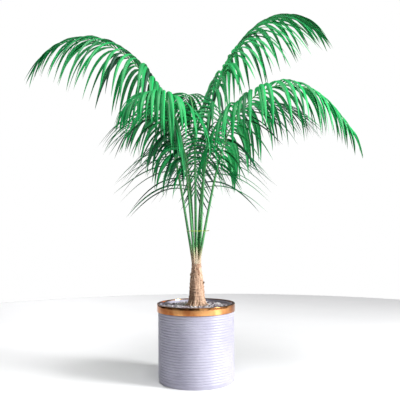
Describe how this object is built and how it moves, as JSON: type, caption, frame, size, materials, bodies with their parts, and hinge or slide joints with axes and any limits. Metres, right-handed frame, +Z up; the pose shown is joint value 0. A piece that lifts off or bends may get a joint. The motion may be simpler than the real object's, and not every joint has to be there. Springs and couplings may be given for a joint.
{
  "type": "potted kentia palm",
  "caption": "Indoor feather palm with arching fronds on a short fibrous trunk, in a ribbed round planter with a polished rim band.",
  "frame": {"origin": "middle of the pot's flat underside, where it stands on the floor", "axes": "+Z up along the trunk; the picture is taken from -Y, with +X to its right"},
  "size_m": [1.3344, 1.0807, 1.611],
  "materials": {
    "pot_ceramic": "satin white, fine level ribs",
    "rim_copper": "polished copper",
    "potting_mix": "moist, dark",
    "gravel": "washed pale gravel",
    "trunk_bark": "fibrous tan bark with leaf scars",
    "dry_sheath": "dry papery leaf sheath",
    "tie": "plastic coated wire",
    "petiole": "smooth green stem",
    "leaf": "satin green leaflets"
  },
  "bodies": {
    "root": {"pot": "pot_ceramic", "rim_band": "rim_copper", "potting_mix": "potting_mix", "gravel": "gravel", "trunk": "trunk_bark", "leaf_sheath": "dry_sheath", "tie": "tie", "left_petiole": "petiole", "left_blade_inner": "leaf", "left_blade_outer": "leaf", "front_left_petiole": "petiole", "front_left_blade_inner": "leaf", "front_left_blade_outer": "leaf", "front_right_petiole": "petiole", "front_right_blade_inner": "leaf", "front_right_blade_outer": "leaf", "right_petiole": "petiole", "right_blade_inner": "leaf", "right_blade_outer": "leaf", "back_right_petiole": "petiole", "back_right_blade_inner": "leaf", "back_right_blade_outer": "leaf", "back_petiole": "petiole", "back_blade_inner": "leaf", "back_blade_outer": "leaf", "back_upper_petiole": "petiole", "back_upper_blade_inner": "leaf", "back_upper_blade_outer": "leaf", "back_left_petiole": "petiole", "back_left_blade_inner": "leaf", "back_left_blade_outer": "leaf"}
  },
  "joints": []
}
